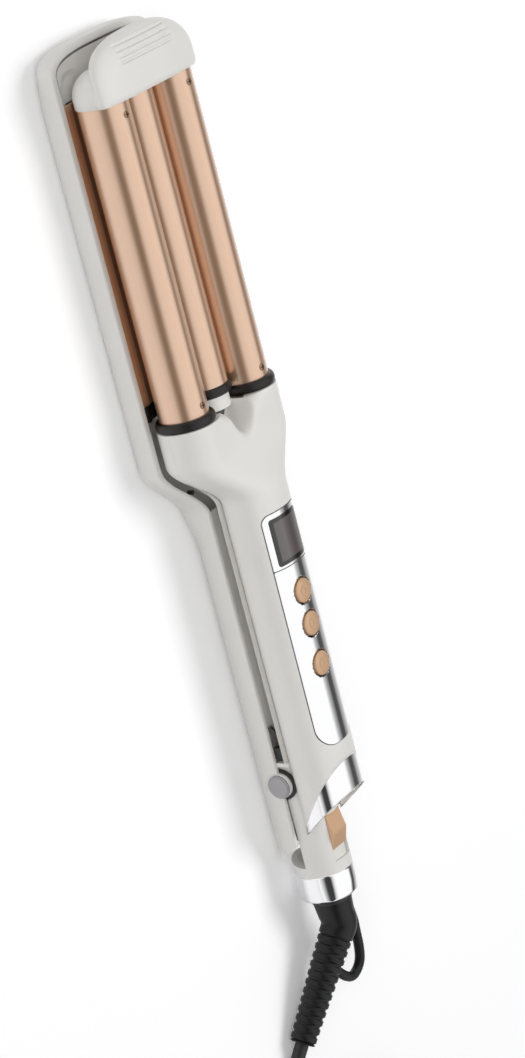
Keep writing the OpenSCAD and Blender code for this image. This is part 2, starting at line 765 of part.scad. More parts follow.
module lock_catch() {
    color("silver")
    union() {
        translate([catch_x[0], -3, catch_z + 0.02]) cube([catch_x[1] - catch_x[0], 6, 0.9]);
        translate([bolt_x[0], -3, catch_z + 0.02]) cube([1, 6, 5]);
        translate([bolt_x[0], -3, catch_z + 4.1]) cube([3, 6, 0.92]);
    }
}

// ================= cord side =================
sleeve_start = [tail_x - 15, 0.6, collar_z];
sleeve_end = [tail_x - 55, 27, 5.4];
boot_loop = [
    [-194, -4.5, 17], [-200, -7.6, 17.4], [-207, -9, 17], [-213, -8, 16.4], [-217.5, -4.5, 15.6],
    [-219, 0, 14.6], [-217.5, 5, 13.6], [-214, 9, 13]
];
rib_count = 12;
module along(a, b) {
    d = b - a;
    translate(a) rotate([0, acos(d[2] / norm(d)), atan2(d[1], d[0])]) children();
}
module swivel_boot() {
    len = norm(sleeve_end - sleeve_start);
    pitch = (len - 6) / rib_count;
    color([0.14, 0.14, 0.14])
    union() {
        rod_x(tail_x - 0.5, end_ring_front_x - 3, 5.03, 0, collar_z);
        turned_x([
            [0, tail_x - 15], [6.4, tail_x - 15], [6.6, tail_x - 9], [7.4, tail_x - 3],
            [8.1, tail_x - 0.1], [8.1, tail_x + 1.2], [0, tail_x + 1.2]
        ], 0, collar_z);
        translate(sleeve_start) sphere(6.9);
        along(sleeve_start, sleeve_end) rotate_extrude()
            polygon(concat(
                [[0, 0], [7.2, 0]],
                [
                    for (k = [0:rib_count - 1])
                        let (z = 5 + k * pitch, r = mix(7.2, 5.3, k / (rib_count - 1)))
                        each [[r, z], [r, z + pitch * 0.55], [r - 1.1, z + pitch * 0.65],
                            [r - 1.1, z + pitch * 0.95]]
                ],
                [[4.2, len], [0, len]]
            ));
        sweep(boot_loop, 2, 8);
    }
}
lead_route = [
    sleeve_end, [-244, 30.4, 4.2], [-249.5, 34.1, 3.4], [-256, 38.5, 2.9], [-263.5, 43.2, 2.9],
    [-272.5, 48.4, 2.9], [-282, 52.9, 2.9]
];
coil_at = [-314, 14, 0];
coil_r = [22.7, 45.9];          // innermost and outermost turn
tail_route = [
    [-337, 54.8, 8.2], [-345, 52.2, 7.4], [-353, 50.4, 7], [-361, 50, 6.9]
];
plug_x = [-398, -361];
plug_y = 50;
plug_z = 6.9;
pin_gap = 18.6;
module cord_lead() { color([0.14, 0.14, 0.14]) sweep(lead_route, cord_d / 2, 8); }
module cord_tail() { color([0.14, 0.14, 0.14]) sweep(tail_route, cord_d / 2, 8); }
module cord_coil() {
    r = cord_d / 2;
    color([0.14, 0.14, 0.14])
    translate(coil_at) rotate_extrude() union() {
        translate([coil_r[0] - r, r]) square([coil_r[1] - coil_r[0] + 2 * r, 2 * r]);
        translate([coil_r[0], 0]) square([coil_r[1] - coil_r[0], 4 * r]);
        for (x = coil_r, z = [r, 3 * r]) translate([x, z]) circle(r);
    }
}
module cord_tie() {
    r = cord_d / 2;
    color([0.1, 0.1, 0.1])
    translate(coil_at) rotate([0, 0, 200]) difference() {
        translate([coil_r[0] - r - 1, -6, 0])
            cube([coil_r[1] - coil_r[0] + 2 * r + 2, 12, 4 * r + 1]);
        rotate_extrude()
            translate([coil_r[0] - r - 0.02, -1])
                square([coil_r[1] - coil_r[0] + 2 * r + 0.04, 4 * r + 1.02]);
    }
}
module plug_body() {
    y = plug_y;
    color([0.14, 0.14, 0.14])
    linear_extrude(2 * plug_z - 0.1)
        polygon([
            [plug_x[0], y - 15], [plug_x[0] + 2, y - 17.6], [plug_x[0] + 12, y - 17.6],
            [plug_x[1] - 10, y - 6], [plug_x[1], y - 4.5], [plug_x[1], y + 4.5],
            [plug_x[1] - 10, y + 6], [plug_x[0] + 12, y + 17.6], [plug_x[0] + 2, y + 17.6],
            [plug_x[0], y + 15]
        ]);
}
module plug_pins() {
    color("silver")
    for (s = [-1, 1])
        rod_x(plug_x[0] - 19, plug_x[0] - 0.01, 2, plug_y + s * pin_gap / 2, plug_z);
}

upper_housing();
upper_inner_cover();
barrel_left();
barrel_right();
ring_left();
ring_right();
tip_cap();
tip_plug_left();
tip_plug_right();
heater_left();
heater_right();
spreader_left();
spreader_right();
barrel_screws();
control_panel();
display_window();
display_module();
key_plus();
key_minus();
key_power();
tact_switches();
circuit_board();
housing_screws();
rear_collar();
chevron_trim();
end_ring();
swivel_socket();
lock_slider();
lock_bolt();
lower_shell();
lower_inner_cover();
wave_plate();
plate_block_front();
plate_block_rear();
barrel_middle();
ring_middle();
neck_middle();
plug_middle();
heater_middle();
spreader_middle();
hinge_pin();
hinge_caps();
torsion_spring();
stop_pad();
shell_screws();
lock_catch();
swivel_boot();
cord_lead();
cord_coil();
cord_tail();
cord_tie();
plug_body();
plug_pins();
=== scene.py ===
"""Three-barrel hair waver, closed and lying on its lower arm, seen from its tip end and left side.

The sections follow the tool as it is put together: the camera and the surface it lies on, the
cord, the lower arm, the upper arm, then the keys, the lock and the trim. Lengths are written in
millimetres and turned to metres where a mesh is made.
"""
import math

import bmesh
import bpy
import numpy as np
from mathutils import Matrix, Vector


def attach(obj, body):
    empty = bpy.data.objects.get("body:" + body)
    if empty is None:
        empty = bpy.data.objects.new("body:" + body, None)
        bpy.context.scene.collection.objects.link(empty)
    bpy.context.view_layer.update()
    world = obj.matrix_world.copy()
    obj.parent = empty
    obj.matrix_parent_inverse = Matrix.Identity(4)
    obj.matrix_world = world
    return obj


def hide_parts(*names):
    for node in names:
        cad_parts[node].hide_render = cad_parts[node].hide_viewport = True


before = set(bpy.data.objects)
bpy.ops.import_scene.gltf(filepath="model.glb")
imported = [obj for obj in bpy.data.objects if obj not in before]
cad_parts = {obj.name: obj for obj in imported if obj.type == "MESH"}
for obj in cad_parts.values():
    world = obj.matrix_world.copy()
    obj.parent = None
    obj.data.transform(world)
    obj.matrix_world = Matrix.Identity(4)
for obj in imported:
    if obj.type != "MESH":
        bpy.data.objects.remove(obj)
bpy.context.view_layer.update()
MM = 0.001

# ---------------------------------------------------------------------------------------------
# Camera: a long lens from beyond the tip, above and to the left of the tool.
# It looks at the handle's front part; the tool's length runs up the picture, leaning left.
eye = np.array([413.97, 1093.42, 892.14]) * MM
aim = np.array([-23.97, -8.38, 22.5]) * MM
roll = math.radians(-14.527)
sight = (aim - eye) / np.linalg.norm(aim - eye)
right = np.cross(sight, [1.0, 0.0, 0.0])
right /= np.linalg.norm(right)
above = np.cross(right, sight)
camera_x = math.cos(roll) * right + math.sin(roll) * above
camera_y = math.cos(roll) * above - math.sin(roll) * right
camera_data = bpy.data.cameras.new("camera")
camera_data.sensor_fit = "VERTICAL"
camera_data.sensor_height = 36.0
camera_data.lens = 126.757
camera_data.clip_start, camera_data.clip_end = 0.05, 20.0
camera = bpy.data.objects.new("camera", camera_data)
turn = np.eye(4)
turn[:3, 0], turn[:3, 1], turn[:3, 2], turn[:3, 3] = camera_x, camera_y, -sight, eye
camera.matrix_world = Matrix(turn.tolist())
bpy.context.scene.collection.objects.link(camera)
bpy.context.scene.camera = camera
bpy.context.scene.view_settings.view_transform = "Standard"

# ---------------------------------------------------------------------------------------------
# Floor: a wide sheet of matt white photographic paper, rolled out under the tool. It runs out to
# white and keeps the tool's soft shadow.


def linear(hex_colour):
    """An sRGB hex colour such as '#e8e5e0' as linear red, green, blue and alpha."""
    c = np.array([int(hex_colour[i:i + 2], 16) for i in (1, 3, 5)]) / 255.0
    c = np.where(c <= 0.04045, c / 12.92, ((c + 0.055) / 1.055) ** 2.4)
    return (*c.tolist(), 1.0)


def add(tree, kind, links=(), **settings):
    """Adds a node of this kind to a node tree, gives its sockets or fields their values and links it.
    A link is (socket to fill, node that it comes from, name or number of that node's output)."""
    node = tree.nodes.new(kind)
    for key, value in settings.items():
        name = key.replace("_", " ")
        if hasattr(node, key):
            setattr(node, key, value)
        else:
            node.inputs[int(key[1:]) if key[0] == "i" and key[1:].isdigit() else name].default_value = value
    for socket, source, output in links:
        tree.links.new(source.outputs[output], node.inputs[socket])
    return node


def surface(name, **sockets):
    """A new material with one Principled shader whose sockets hold these values."""
    m = bpy.data.materials.new(name)
    m.use_nodes = True
    shader = m.node_tree.nodes["Principled BSDF"]
    for key, value in sockets.items():
        shader.inputs[key.replace("_", " ")].default_value = value
    return m, m.node_tree, shader


# Uncoated paper: flat white without a sheen, with a fibre that only a close look shows
paper, tree, shader = surface(
    "matt white paper sweep", Base_Color=linear("#fefeff"), Roughness=0.9, Specular_IOR_Level=0.1)
fibre = add(tree, "ShaderNodeTexNoise", Scale=900.0, Detail=2.0)
tooth = add(tree, "ShaderNodeBump", [("Height", fibre, "Fac")], Strength=0.05, Distance=0.0002)
tree.links.new(tooth.outputs["Normal"], shader.inputs["Normal"])
# the last step to white is for the eye and for mirrors only, so it puts no light on the tool
path = add(tree, "ShaderNodeLightPath")
seen = add(tree, "ShaderNodeMath", [(0, path, "Is Camera Ray"), (1, path, "Is Glossy Ray")],
           operation="MAXIMUM")
seen = add(tree, "ShaderNodeMath", [(0, seen, 0), (1, path, "Is Transmission Ray")], operation="MAXIMUM")
shader.inputs["Emission Color"].default_value = (1, 1, 1, 1)
glow = add(tree, "ShaderNodeMath", [(0, seen, 0)], operation="MULTIPLY", i1=0.15)
tree.links.new(glow.outputs[0], shader.inputs["Emission Strength"])
bpy.ops.mesh.primitive_plane_add(size=12.0, location=(0, 0, -0.0002))
floor = bpy.context.object
floor.name = "floor"
floor.data.materials.append(paper)

# ---------------------------------------------------------------------------------------------
# Studio: a white room, even in diffuse light. Long walls stand beside the tool and mirrors show
# them round its length: a dark curtain at the near side, white overhead, a dark curtain beyond.
# Two soft boxes light it, a strong one from behind and above and a weak one from the near side.
world = bpy.data.worlds.new("studio")
bpy.context.scene.world = world
world.use_nodes = True
tree = world.node_tree
tree.nodes.clear()
way = add(tree, "ShaderNodeTexCoord")
part = add(tree, "ShaderNodeSeparateXYZ", [("Vector", way, "Generated")])
angle = add(tree, "ShaderNodeMath", [(0, part, "Z"), (1, part, "Y")], operation="ARCTAN2")
turn_part = add(tree, "ShaderNodeMath", [(0, angle, 0)], operation="DIVIDE", i1=math.pi)
walls = add(tree, "ShaderNodeValToRGB", [("Fac", turn_part, 0)])
# degrees above the near horizon, and how bright the wall is there
stops = [(0, 0.80), (7, 0.95), (14, 0.75), (22, 0.40), (31, 0.05), (51, 0.04), (61, 0.75), (70, 1.0),
         (134, 1.0), (141, 0.40), (146, 0.07), (155, 0.08), (162, 0.33), (171, 0.5), (180, 0.75)]
ramp = walls.color_ramp
ramp.elements.remove(ramp.elements[1])
ramp.elements[0].position, ramp.elements[0].color = stops[0][0], (*[stops[0][1]] * 3, 1)
for degrees, level in stops[1:]:
    ramp.elements.new(degrees / 180).color = (level, level, level, 1)
path = add(tree, "ShaderNodeLightPath")
seen = add(tree, "ShaderNodeMath", [(0, path, "Is Glossy Ray"), (1, path, "Is Transmission Ray")],
           operation="MAXIMUM")
walls_light = add(tree, "ShaderNodeBackground", [("Color", walls, "Color")], Strength=1.1)
even_light = add(tree, "ShaderNodeBackground", Color=(1, 1, 1, 1), Strength=0.3)
white_back = add(tree, "ShaderNodeBackground", Color=(1, 1, 1, 1), Strength=1.0)
lit = add(tree, "ShaderNodeMixShader", [(0, seen, 0), (1, even_light, 0), (2, walls_light, 0)])
shown = add(tree, "ShaderNodeMixShader", [(0, path, "Is Camera Ray"), (1, lit, 0), (2, white_back, 0)])
add(tree, "ShaderNodeOutputWorld", [("Surface", shown, 0)])


def soft_box(name, place, target, width, height, power):
    """A rectangular lamp that faces a target, its place and size in metres and its power in watts."""
    lamp = bpy.data.lights.new(name, "AREA")
    lamp.shape, lamp.size, lamp.size_y, lamp.energy = "RECTANGLE", width, height, power
    o = bpy.data.objects.new(name, lamp)
    o.location = place
    o.rotation_euler = (Vector(target) - Vector(place)).to_track_quat("-Z", "Y").to_euler()
    bpy.context.scene.collection.objects.link(o)
    o.visible_glossy = False


soft_box("key box", (0.2, -0.75, 1.7), (0, 0, 0), 1.1, 0.9, 17)
soft_box("fill box", (0.3, 1.3, 1.15), (0, 0, 0), 1.4, 1.0, 9.5)

# ---------------------------------------------------------------------------------------------
# Cord: a round black two-core lead of 1.85 m in a soft PVC jacket. Past the boot it is wound in two
# layers of turns, one on the other, and the plug lies beside them.
cord_d, coil_turns = 5.8, 8
cord_exit = np.array([-234.4, 29.7, 5.6])
coil_middle = np.array([-314.0, 14.0])
coil_out, coil_in = 45.9, 22.7


def coil_line():
    """The coil's centreline: radius falls evenly with the angle on the floor, then grows again
    on top, and the height passes smoothly from one cord radius to three at the inner turn."""
    start, end = math.radians(85), math.radians(110) + 2 * math.pi * coil_turns
    a = np.linspace(start, end, 330)
    half = (start + end) / 2
    r = coil_in + (coil_out - coil_in) * np.abs(a - half) / (half - start)
    t = np.clip((a - half) / math.radians(60) + 0.5, 0, 1)
    z = cord_d / 2 * (1 + 2 * t * t * (3 - 2 * t))
    return np.stack([coil_middle[0] + r * np.cos(a), coil_middle[1] + r * np.sin(a), z], 1)


def smooth_line(points, step):
    """A Catmull-Rom curve through points, with a point about every step."""
    p = np.asarray(points, float)
    p = np.vstack([2 * p[0] - p[1], p, 2 * p[-1] - p[-2]])
    out = []
    for a, b, c, d in zip(p[:-3], p[1:-2], p[2:-1], p[3:]):
        n = max(2, int(np.linalg.norm(c - b) / step))
        t = np.linspace(0, 1, n, endpoint=False)[:, None]
        out.append(0.5 * (2 * b + (c - a) * t + (2 * a - 5 * b + 4 * c - d) * t**2
                          + (3 * b - a - 3 * c + d) * t**3))
    out.append(p[-2][None])
    return np.vstack(out)


def grid_faces(points, caps=True):
    """Vertices and faces of a closed tube of points (rows, columns, 3): quads join each row to the
    next and the last column to the first. With caps, a fan round its middle closes each end row."""
    rows, cols = points.shape[:2]
    i, j = np.meshgrid(np.arange(rows - 1), np.arange(cols), indexing="ij")
    k = (j + 1) % cols
    quads = np.stack([i * cols + j, i * cols + k, (i + 1) * cols + k, (i + 1) * cols + j], -1)
    v, faces = points.reshape(-1, 3), quads.reshape(-1, 4).tolist()
    if caps:
        v = np.vstack([v, points[0].mean(0), points[-1].mean(0)])
        j = np.arange(cols)
        k = (j + 1) % cols
        n, last = rows * cols, (rows - 1) * cols
        faces += np.stack([np.full(cols, n), k, j], 1).tolist()
        faces += np.stack([np.full(cols, n + 1), last + j, last + k], 1).tolist()
    return v, faces


def tube(line, radius, sides):
    """A round tube: a circle of that radius (one, or one a point) carried along a line, square to
    it, with its first side level."""
    line = np.asarray(line, float)
    d = np.gradient(line, axis=0)
    d /= np.linalg.norm(d, axis=1)[:, None]
    side = np.cross(d, [0, 0, 1.0])
    side /= np.linalg.norm(side, axis=1)[:, None]
    lift = np.cross(side, d)
    a = np.linspace(0, 2 * math.pi, sides, endpoint=False)
    r = np.broadcast_to(np.asarray(radius, float), len(line))[:, None, None]
    return grid_faces(line[:, None] + r * (np.cos(a)[None, :, None] * side[:, None]
                                           + np.sin(a)[None, :, None] * lift[:, None]))


def make_piece(name, parts, material, body, *nodes, smooth_angle=40, bevel=0.0):
    """One object from closed parts (vertices in mm, faces). Each part is turned so that its volume
    is positive, doubles are merged, and edges flatter than smooth_angle degrees are shaded smooth."""
    mesh = bpy.data.meshes.new(name)
    verts, faces, base = [], [], 0
    for v, f in parts:
        v = np.asarray(v, float)
        tris = np.array([(q[0], q[i], q[i + 1]) for q in f for i in range(1, len(q) - 1)])
        a, b, c = v[tris[:, 0]], v[tris[:, 1]], v[tris[:, 2]]
        turned_in = np.einsum("ij,ij->i", a, np.cross(b, c)).sum() < 0
        verts.append(v * MM)
        faces += [[i + base for i in (face[::-1] if turned_in else face)] for face in f]
        base += len(v)
    mesh.from_pydata(np.vstack(verts), [], faces)
    bm = bmesh.new()
    bm.from_mesh(mesh)
    bmesh.ops.remove_doubles(bm, verts=bm.verts, dist=2e-6)
    bmesh.ops.dissolve_degenerate(bm, edges=bm.edges, dist=1e-6)
    bm.to_mesh(mesh)
    bm.free()
    return finish_piece(name, mesh, material, body, nodes, smooth_angle, bevel)


def finish_piece(name, mesh, material, body, nodes, smooth_angle, bevel):
    """Shades a mesh, gives it its material and bevel, and lets it ride on a body for its nodes."""
    mesh.materials.clear()
    mesh.materials.append(material)
    mesh.shade_smooth()
    mesh.set_sharp_from_angle(angle=math.radians(smooth_angle))
    o = bpy.data.objects.new(name, mesh)
    bpy.context.scene.collection.objects.link(o)
    if bevel:
        b = o.modifiers.new("edge", "BEVEL")
        b.width, b.segments, b.harden_normals = bevel * MM, 3, False
        b.limit_method, b.angle_limit = "ANGLE", math.radians(smooth_angle)
    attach(o, body)
    if nodes:
        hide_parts(*nodes)
    return o


def grain(tree, shader, size, depth, rough_low, rough_high):
    """Moulded or cast grain of a size in mm: noise lifts the surface by a depth in mm and lets the
    roughness run between two values."""
    place = add(tree, "ShaderNodeTexCoord")
    noise = add(tree, "ShaderNodeTexNoise", [("Vector", place, "Object")], Scale=1000.0 / size, Detail=3.0)
    bump = add(tree, "ShaderNodeBump", [("Height", noise, "Fac")], Strength=1.0, Distance=depth * MM)
    tree.links.new(bump.outputs["Normal"], shader.inputs["Normal"])
    spread = add(tree, "ShaderNodeMapRange", [("Value", noise, "Fac")], To_Min=rough_low, To_Max=rough_high)
    tree.links.new(spread.outputs["Result"], shader.inputs["Roughness"])
    return noise


# Soft PVC, extruded: a black a little lighter than the boot's, with a faint waxy sheen
jacket, tree, shader = surface("PVC cord jacket, extruded", Base_Color=linear("#19191a"))
grain(tree, shader, 1.2, 0.03, 0.38, 0.5)
lead = smooth_line([cord_exit, (-239.5, 33.4, 4.3), (-245, 37.1, 3.4), (-251.5, 41, 2.9), (-260, 45.0, 2.9),
                    (-270.5, 49.3, 2.9), (-282, 53.3, 2.9), (-293, 56.7, 2.9), (-302, 58.8, 2.9),
                    coil_line()[0]], 4)
tail = smooth_line([coil_line()[-1], (-337, 54.8, 8.2), (-345, 52.2, 7.4), (-353, 50.4, 7.0),
                    (-361, 50, 6.9)], 4)
cord_line = np.vstack([lead[:-1], coil_line()[:-1], tail])
cord = make_piece("power_cord", [tube(cord_line, cord_d / 2, 16)], jacket, "cord_swivel",
                  "cord_lead", "cord_coil", "cord_tail")

# ---------------------------------------------------------------------------------------------
# Cord boot: one moulding of soft black TPE. Its round neck turns in the end ring, a ribbed sleeve
# keeps the cord from kinking, and a loop beside it hangs the tool on a hook.
# Soft black rubber: nearly black, with a dull broad sheen
tpe, tree, shader = surface("TPE boot, moulded", Base_Color=linear("#0d0d0e"), Specular_IOR_Level=0.35)
grain(tree, shader, 0.6, 0.02, 0.32, 0.46)
boot_line = smooth_line([(-170, 0, 16), (-176, 0, 16), (-182, 0, 16), (-188, -0.3, 16), (-194, -0.9, 15.9),
                         (-199, 2.4, 14.6), (-207, 8.8, 12.6), (-215, 15, 10.6), (-224, 21.8, 8.2),
                         (-234.4, 29.7, 5.6)], 0.3)
run = np.concatenate([[0], np.cumsum(np.linalg.norm(np.diff(boot_line, axis=0), axis=1))])
rib_start, rib_pitch, rib_total = 30.5, 3.72, 12


def boot_radius(s, length):
    """Radius along the boot: a stem in the bearing, a neck that narrows, then a taper with narrow
    grooves 0.7 mm deep that leave flat ribs between them, and a blunt end."""
    r = np.interp(s, [0, 9.4, 9.5, 13, 20, 27, rib_start, length], [5, 5, 8.4, 8.1, 7.5, 7.3, 7.1, 5.4])
    wave = np.cos((s - rib_start) / rib_pitch * 2 * math.pi)
    in_ribs = (s > rib_start) & (s < rib_start + rib_total * rib_pitch)
    r = r - np.where(in_ribs, 0.7 / (1 + np.exp(9 * (0.45 - wave))), 0)
    end = np.clip((length - s) / 0.9, 0, 1)
    return r - 0.9 * (1 - np.sqrt(1 - (1 - end) ** 2))


loop_line = smooth_line([(-188, -6.4, 17), (-195.5, -8.3, 17.2), (-202, -8.2, 17.1), (-208.5, -8, 16.9),
                         (-214, -7.0, 16.5), (-217.3, -4.4, 16), (-218.6, -0.3, 15.7), (-216.4, 3.7, 15.3),
                         (-211.5, 7.8, 14.6)], 0.8)
boot = make_piece("cord_boot", [tube(boot_line, boot_radius(run, run[-1]), 56), tube(loop_line, 2.1, 24)],
                  tpe, "cord_swivel", "swivel_boot", smooth_angle=70)

# ---------------------------------------------------------------------------------------------
# Plug: a flat two-pin plug moulded on the cord's end from the boot's TPE, with turned pins of
# nickel-plated brass.


def dress(material, *nodes):
    """CAD nodes whose shape stays as it is get this material."""
    for node in nodes:
        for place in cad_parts[node].material_slots:
            place.material = material


# Nickel: a warm grey metal, bright but not a mirror
nickel, tree, shader = surface("nickel-plated brass", Base_Color=linear("#c9c2b2"), Metallic=1.0)
grain(tree, shader, 0.4, 0.002, 0.2, 0.32)
dress(nickel, "plug_pins")
dress(tpe, "plug_body")

# ---------------------------------------------------------------------------------------------
# Cord tie: a strap of black nylon hook tape, wrapped round the coil.
# Woven nylon: deep black and fuzzy, with no sheen of its own
strap, tree, shader = surface("nylon hook tape, woven", Base_Color=linear("#1b1b1c"), Sheen_Weight=0.3)
grain(tree, shader, 0.5, 0.12, 0.75, 0.95)
dress(strap, "cord_tie")

# ---------------------------------------------------------------------------------------------
# Lower shell: one injection-moulded piece of white ABS. A narrow channel under the handle widens
# into the tray. It carries the third barrel and the wave plate, and its ears hold the hinge pin.
neck_x = -8.0
tip_end, tip_length, tip_power = 184.0, 12.0, 3.2
tail_x, tail_slant, rim_round, floor_thick = -161.0, 0.62, 0.8, 2.2


def ease(t):
    """0 below 0, 1 above 1, and smooth between."""
    t = np.clip(t, 0, 1)
    return t * t * (3 - 2 * t)


def mix(a, b, t):
    """a where t is 0, b where t is 1."""
    return a + (b - a) * t


def shell_half(x):
    """Half-width outside: the grip's 15 mm passes into the tray's 33.5 mm over the neck."""
    return mix(15, 33.5, ease((x - neck_x + 1) / 25))


def shell_rim(x):
    """Height of the rim: 16.8 mm along the grip, 12.3 mm round the tray."""
    return mix(16.8, 12.3, ease((x + 8) / 28))


def shell_base(x):
    """Height of the underside: 0.8 mm under the grip and 0 under the tray. It lifts over the last
    8 mm of the tip and over the last 6 mm of the tail."""
    front = np.clip((x - tip_end + 8) / 8, 0, 1)
    back = np.clip((-155 - x) / 6, 0, 1)
    return mix(0.8, 0.0, ease((x - neck_x + 16) / 26)) + 7.5 * (1 - np.sqrt(1 - front**2)) + 4 * back**2


def lower_shell_grid():
    """Rows run along the tool and columns round the wall's closed U: down the outside, over the
    rounded rim, and back up the inside. Each column blends from the outer plan curve (0) to the
    inner one (1); the plan closes at the tip as a superellipse, and the tail is cut on a slant."""
    a = np.linspace(0, math.pi, 73)
    b = np.linspace(0, math.pi / 2, 7)[1:]
    # per column: share of the inner plan, angle round the U, and height on the rim's arc
    share = np.concatenate([0 * a, 0.25 * (1 - np.cos(b)), 0.75 + 0.25 * np.sin(b), 0 * a + 1,
                            1 - 0.25 * (1 - np.cos(b)), 0.25 * (1 - np.sin(b))[:-1]])
    angle = np.concatenate([a, 0 * b + math.pi, 0 * b + math.pi, a[::-1], 0 * b, 0 * b[:-1]])
    lift = np.concatenate([0 * a, np.sin(b), np.cos(b), 0 * a, np.sin(b), np.cos(b)[:-1]]) * rim_round
    s = np.concatenate([np.zeros(90), np.sin(np.linspace(0, math.pi / 2, 30)) ** (2 / tip_power)])
    straight_end = tip_end - tip_length
    x = np.concatenate([np.linspace(tail_x, -20, 30), np.linspace(-17, 40, 40),
                        np.linspace(48, straight_end, 20), np.full(30, straight_end)])
    width = mix(2.2, 3.2, ease((x + 8) / 30))
    outer_x, inner_x = x + tip_length * s, x + (tip_length - width) * s
    plan = np.maximum(0, 1 - s**tip_power) ** (1 / tip_power)
    X = mix(outer_x[:, None], inner_x[:, None], share[None])
    half = mix(shell_half(x)[:, None], shell_half(x)[:, None] - width[:, None], share[None]) * plan[:, None]
    n = mix(mix(2.2, 5.5, ease((x - neck_x + 16) / 26)), 3.2, ease((x - 160) / 20))[:, None]
    c, down = np.cos(angle)[None], np.sin(angle)[None]
    Y = half * np.sign(c) * np.abs(c) ** (2 / n)
    top = shell_rim(X) - rim_round
    low = shell_base(X) + floor_thick * share[None]
    Z = top - np.maximum(top - low, 0.4) * np.abs(down) ** (2 / n) + lift[None]
    # slanted tail: rows near it lean with the height, and a low wall closes it
    lean = np.clip(Z - 3, 0, 15) * tail_slant + floor_thick * share[None]
    near = np.clip((tail_x + 31 - x) / 31, 0, 1)[:, None]
    X = np.where(near > 0, X + lean * near, X)
    # room for the collar's swing: within 12.25 mm of the middle nothing stands above this line
    swing = np.where((X < -128.5) & (np.abs(Y) < 12.25), 15.3 + (X + 128.5) * 0.219, 40)
    Z = np.minimum(Z, swing)
    wall = np.minimum(Z[:1], 5.4)
    wall_x = tail_x + np.clip(wall - 3, 0, 15) * tail_slant + floor_thick * share[None]
    side_y = np.clip(Y[:1], -12.2, 12.2)
    rows = [np.stack([wall_x, 0 * side_y, wall], -1), np.stack([wall_x, side_y, wall], -1),
            np.stack([X[:1], side_y, Z[:1]], -1)]
    return np.concatenate(rows + [np.stack([X, Y, Z], -1)])


def lathe(profile, centre, axis, sides=96):
    """A closed profile of (place along the axis, radius) turned about a line through the centre."""
    p = np.asarray(profile, float)
    p = np.vstack([p, p[:1]])
    a = np.linspace(0, 2 * math.pi, sides, endpoint=False)
    ring = np.empty((len(p), sides, 3))
    ring[..., axis] = p[:, :1]
    ring[..., (axis + 1) % 3] = p[:, 1:] * np.cos(a)
    ring[..., (axis + 2) % 3] = p[:, 1:] * np.sin(a)
    return grid_faces(ring + np.asarray(centre, float), caps=False)


# Moulded ABS: a warm off-white with a satin skin, a fine spark texture and faint flow clouds
abs_white, tree, shader = surface("white ABS, moulded", Specular_IOR_Level=0.45)
grain(tree, shader, 0.7, 0.006, 0.34, 0.44)
place = add(tree, "ShaderNodeTexCoord")
cloud = add(tree, "ShaderNodeTexNoise", [("Vector", place, "Object")], Scale=28.0, Detail=2.0)
tone = add(tree, "ShaderNodeValToRGB", [("Fac", cloud, "Fac")])
tone.color_ramp.elements[0].color = linear("#e4e2dd")
tone.color_ramp.elements[1].color = linear("#edebe8")
tree.links.new(tone.outputs["Color"], shader.inputs["Base Color"])

hinge_x, hinge_z = -125.5, 16.5
ears = [lathe([(s * 13.3, 0.01), (s * 13.3, 5.2), (s * 14.7, 5.2), (s * 15, 4.9), (s * 15, 0.01)],
              (hinge_x, 0, hinge_z), 1, 64) for s in (1, -1)]
make_piece("lower_shell_moulded", [grid_faces(lower_shell_grid(), caps=False)] + ears, abs_white,
           "lower_arm", "lower_shell", smooth_angle=50)

# ---------------------------------------------------------------------------------------------
# Lower inner cover and the middle barrel's neck: small ABS mouldings from the same batch, clipped
# and screwed into the lower shell.
dress(abs_white, "lower_inner_cover", "neck_middle")

# ---------------------------------------------------------------------------------------------
# Tray's tip floor: the white shelf in front of the wave plate, screwed to the shell and hollowed
# where the two outer barrels' ends come down.


def tip_floor_grid():
    """A slab 2.6 mm thick: rows along x, each a closed loop over the top and back underneath. Its
    plan follows the shell's inner plan curve with 0.9 mm of room. Two round hollows dip the top."""
    t = np.concatenate([np.zeros(16), np.sin(np.linspace(0, math.pi / 2, 20)) ** (2 / tip_power)])
    x = np.concatenate([np.linspace(163.1, 171.2, 16, endpoint=False), np.full(20, 171.5)]) + 8.3 * t
    half = 29.2 * np.maximum(0, 1 - t**tip_power) ** (1 / tip_power)
    v = np.linspace(-1, 1, 81)
    Y = half[:, None] * np.concatenate([v, v[::-1]])[None]
    X = np.broadcast_to(x[:, None], Y.shape)
    reach = np.hypot(np.maximum(0, X - 167), np.abs(Y) - 21)
    dip = 1.6 * ease((7.6 - reach) / 1.2)
    Z = np.where(np.arange(162)[None] < 81, 11.3 - dip, 8.7 + 0 * Y)
    return np.stack([X, Y, Z], -1)


make_piece("tip_floor", [grid_faces(tip_floor_grid())], abs_white, "lower_arm", "plate_block_front",
           smooth_angle=60)

# ---------------------------------------------------------------------------------------------
# Barrels: drawn aluminium tubes, sprayed and fired with a rose-gold heat-resistant glaze. The outer
# two are screwed into the upper arm, the middle one stands on the lower arm.
barrel_r, bore_r, barrel_y, barrel_z, middle_z = 10.0, 8.8, 21.0, 22.5, 18.4
# Fired glaze: a warm rose-gold that looks half metal, half enamel, with a soft bright gloss
glaze, tree, shader = surface(
    "rose-gold ceramic glaze on aluminium", Metallic=0.68, Coat_Weight=1.0, Coat_Roughness=0.2,
    Coat_IOR=2.4)
